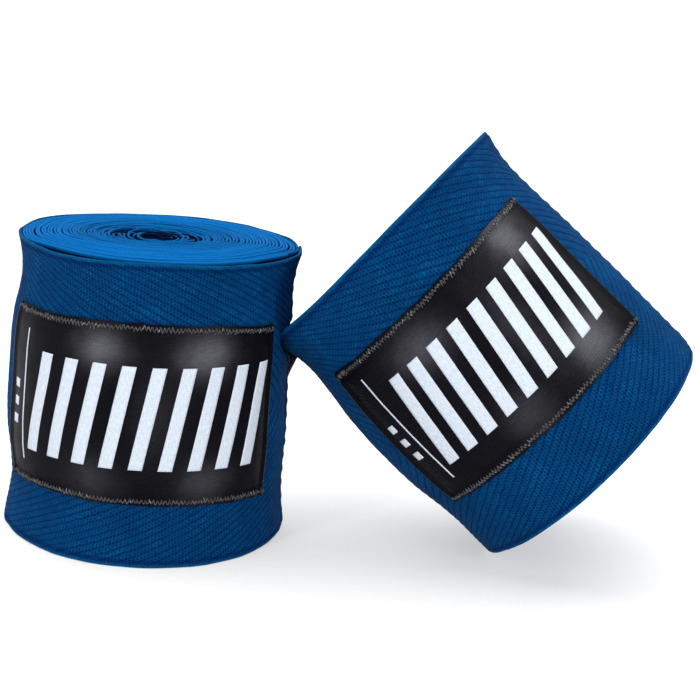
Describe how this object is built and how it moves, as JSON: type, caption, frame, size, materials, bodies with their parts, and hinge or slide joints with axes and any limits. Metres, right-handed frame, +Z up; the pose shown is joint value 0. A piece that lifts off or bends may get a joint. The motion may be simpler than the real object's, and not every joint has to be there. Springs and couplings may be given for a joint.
{
  "type": "hand wrap",
  "caption": "Matched pair of rolled blue boxing hand wraps with hook-and-loop closures and black satin labels, one standing on edge and the other leaning against it.",
  "frame": {"origin": "centre of the pair's footprint box, on the surface it stands on", "axes": "+Z up; +X from the standing wrap towards the leaning wrap, along the longest side; labels face -Y"},
  "size_m": [0.1192, 0.0564, 0.0712],
  "materials": {
    "wrap_cloth": "matt woven cotton-elastic twill, bright blue",
    "loop_tape": "napped loop pile, blue",
    "hook_tape": "black moulded hook pile",
    "label_satin": "black woven satin with soft sheen",
    "label_thread": "black and charcoal overlock thread",
    "blue_thread": "blue sewing thread"
  },
  "bodies": {
    "left_wrap": {"left_cloth_roll": "wrap_cloth", "left_loop_tape": "loop_tape", "left_loop_tape_stitching": "blue_thread", "left_thumb_loop": "wrap_cloth", "left_thumb_loop_bar_tack": "blue_thread"},
    "left_closure": {"left_closure_end": "wrap_cloth", "left_end_hem": "wrap_cloth", "left_end_hem_stitching": "blue_thread", "left_hook_tape": "hook_tape", "left_hook_tape_stitching": "label_thread", "left_label": "label_satin", "left_label_stitching_top": "label_thread", "left_label_stitching_bottom": "label_thread"},
    "right_wrap": {"right_cloth_roll": "wrap_cloth", "right_loop_tape": "loop_tape", "right_loop_tape_stitching": "blue_thread", "right_thumb_loop": "wrap_cloth", "right_thumb_loop_bar_tack": "blue_thread"},
    "right_closure": {"right_closure_end": "wrap_cloth", "right_end_hem": "wrap_cloth", "right_end_hem_stitching": "blue_thread", "right_hook_tape": "hook_tape", "right_hook_tape_stitching": "label_thread", "right_label": "label_satin", "right_label_stitching_top": "label_thread", "right_label_stitching_bottom": "label_thread"}
  },
  "joints": [
    {"name": "left_closure_peel", "type": "hinge", "parent": "left_wrap", "child": "left_closure", "pos_m": [-0.05919, 0.00058, 0.0254], "axis": [0, 0, -1], "range_deg": [0, 85]},
    {"name": "right_wrap_lift", "type": "slide", "parent": "left_wrap", "child": "right_wrap", "axis": [0, 0, 1], "range_m": [0, 0.1]},
    {"name": "right_closure_peel", "type": "hinge", "parent": "right_wrap", "child": "right_closure", "pos_m": [0.0076, -0.0071, 0.01813], "axis": [0.7545, -0.1542, -0.638], "range_deg": [0, 45]}
  ]
}
